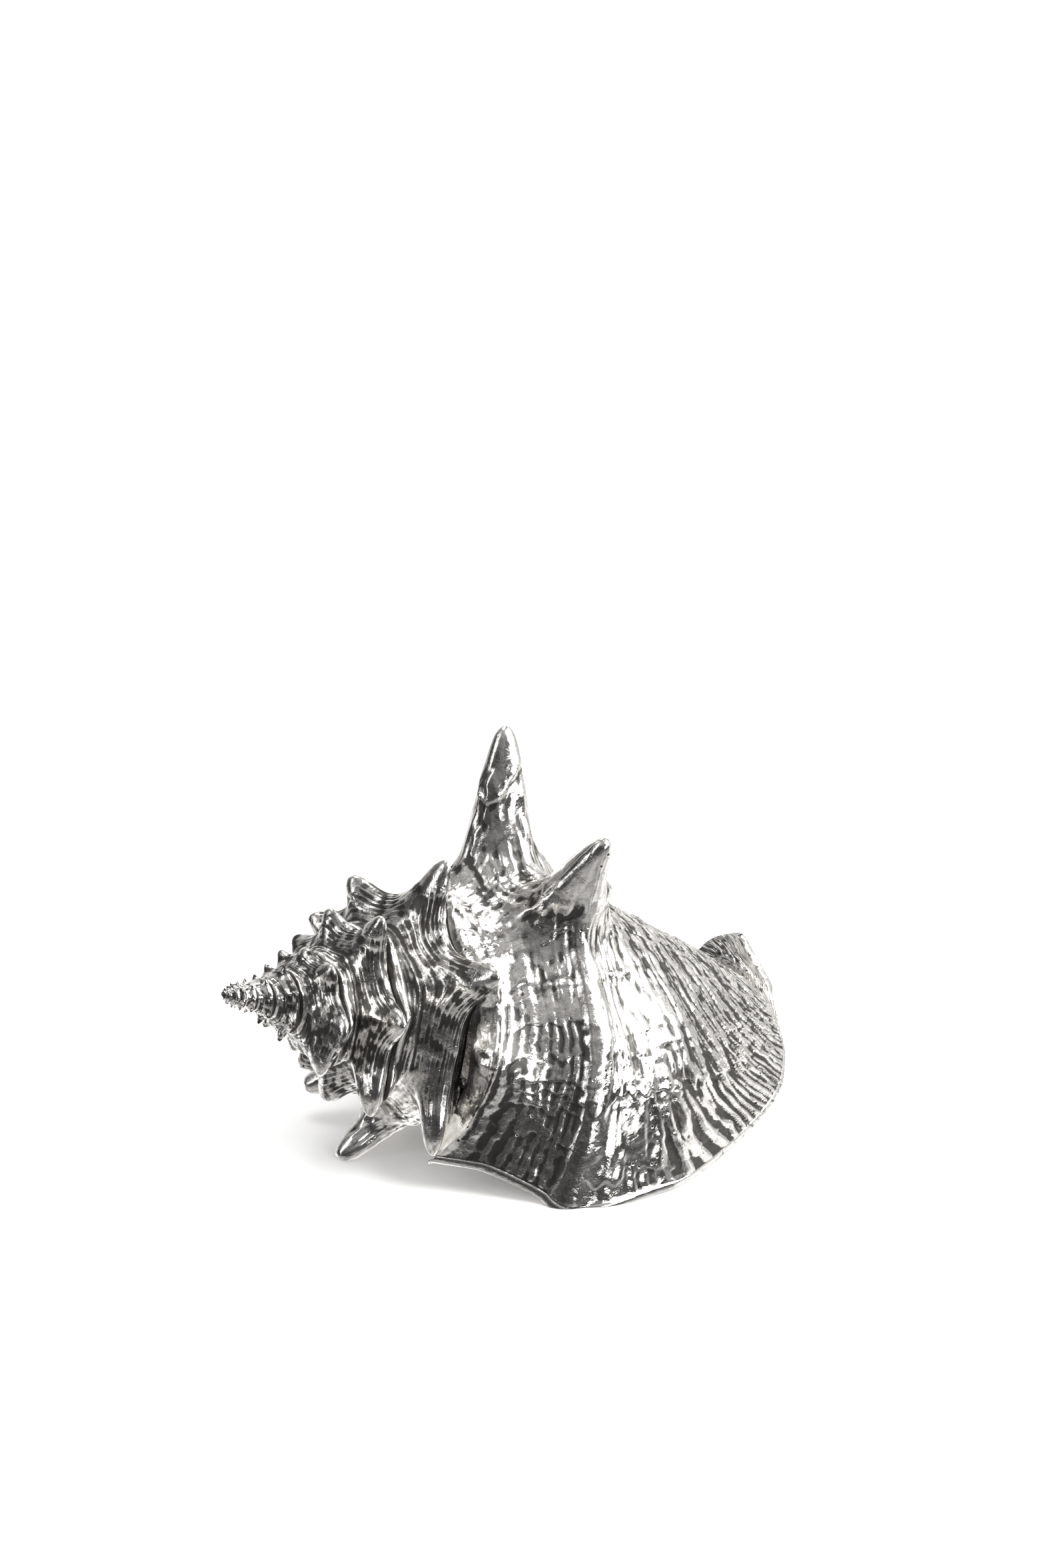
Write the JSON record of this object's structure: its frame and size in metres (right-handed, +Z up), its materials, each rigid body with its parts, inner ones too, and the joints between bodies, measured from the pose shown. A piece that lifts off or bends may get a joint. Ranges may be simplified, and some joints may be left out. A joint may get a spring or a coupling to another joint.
{
  "type": "queen conch shell ornament",
  "caption": "Polished silver-tone cast-metal queen conch shell lying on its flared lip, with a knobbed spire, a tall dorsal spine and an open siphonal canal.",
  "frame": {"origin": "on the floor, under the middle of the shell's bounding box", "axes": "+X from the apex of the spire to the siphonal canal, -Y towards the flared outer lip, +Z up"},
  "size_m": [0.2836, 0.1744, 0.1866],
  "materials": {
    "polished_metal": "polished, antiqued recesses",
    "inner_metal": "as cast"
  },
  "bodies": {
    "root": {"spire_tip": "polished_metal", "whorl_5": "polished_metal", "whorl_4": "polished_metal", "whorl_3": "polished_metal", "whorl_2": "polished_metal", "ventral_wall": "polished_metal", "dorsal_wall": "polished_metal", "outer_lip": "polished_metal", "siphonal_canal": "polished_metal", "dorsal_spine": "polished_metal", "shoulder_spine": "polished_metal", "tail_spine": "polished_metal", "foot_spine": "polished_metal", "crown_spine_1": "polished_metal", "crown_spine_2": "polished_metal", "crown_spine_3": "polished_metal", "crown_spine_4": "polished_metal", "crown_spine_5": "polished_metal", "crown_spine_6": "polished_metal", "crown_spine_7": "polished_metal", "inner_lip": "inner_metal", "columella": "inner_metal"}
  },
  "joints": []
}
